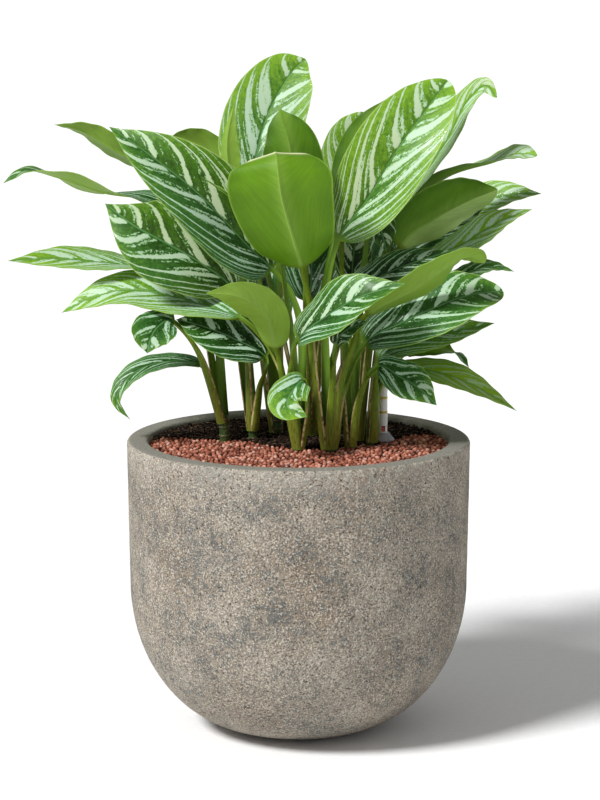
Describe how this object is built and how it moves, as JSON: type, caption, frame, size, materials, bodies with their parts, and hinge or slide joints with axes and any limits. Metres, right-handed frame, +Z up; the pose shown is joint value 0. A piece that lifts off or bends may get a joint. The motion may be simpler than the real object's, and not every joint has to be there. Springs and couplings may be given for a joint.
{
  "type": "potted stripes chinese evergreen",
  "caption": "House plant with striped green leaves on short canes, in a round-footed stone-look pot with clay granules and a water gauge.",
  "frame": {"origin": "centre of the pot's flat underside, on the surface it stands on", "axes": "+Z up the plant, +X to the right and -Y towards the viewer in the picture"},
  "size_m": [0.5536, 0.3975, 0.6858],
  "materials": {
    "stone": "rough, pitted composite",
    "soil": "matt, dark fibrous planting mix",
    "clay": "unglazed fired clay balls",
    "gauge_white": "smooth",
    "gauge_clear": "smooth, milky",
    "gauge_red": "smooth",
    "cane": "semi-gloss plant skin with leaf scars",
    "leaf": "waxy leaf, striped above and plain below"
  },
  "bodies": {
    "root": {"cane_1": "cane", "cane_2": "cane", "cane_3": "cane", "cane_4": "cane", "cane_5": "cane", "cane_6": "cane", "cane_7": "cane", "cane_8": "cane", "cane_9": "cane", "clay_granules": "clay", "gauge_collar": "gauge_clear", "gauge_indicator": "gauge_red", "gauge_tube": "gauge_white", "leaf_01": "leaf", "leaf_02": "leaf", "leaf_03": "leaf", "leaf_04": "leaf", "leaf_05": "leaf", "leaf_06": "leaf", "leaf_07": "leaf", "leaf_08": "leaf", "leaf_09": "leaf", "leaf_10": "leaf", "leaf_11": "leaf", "leaf_12": "leaf", "leaf_13": "leaf", "leaf_14": "leaf", "leaf_15": "leaf", "leaf_16": "leaf", "leaf_17": "leaf", "leaf_18": "leaf", "leaf_19": "leaf", "leaf_20": "leaf", "leaf_21": "leaf", "leaf_22": "leaf", "leaf_23": "leaf", "leaf_24": "leaf", "leaf_25": "leaf", "leaf_26": "leaf", "leaf_27": "leaf", "leaf_28": "leaf", "leaf_29": "leaf", "leaf_30": "leaf", "leaf_31": "leaf", "leaf_32": "leaf", "leaf_33": "leaf", "leaf_34": "leaf", "leaf_35": "leaf", "leaf_36": "leaf", "leaf_37": "leaf", "leaf_38": "leaf", "leaf_39": "leaf", "leaf_40": "leaf", "leaf_41": "leaf", "leaf_42": "leaf", "leaf_43": "leaf", "leaf_44": "leaf", "leaf_45": "leaf", "pot": "stone", "soil_bed": "soil"}
  },
  "joints": []
}
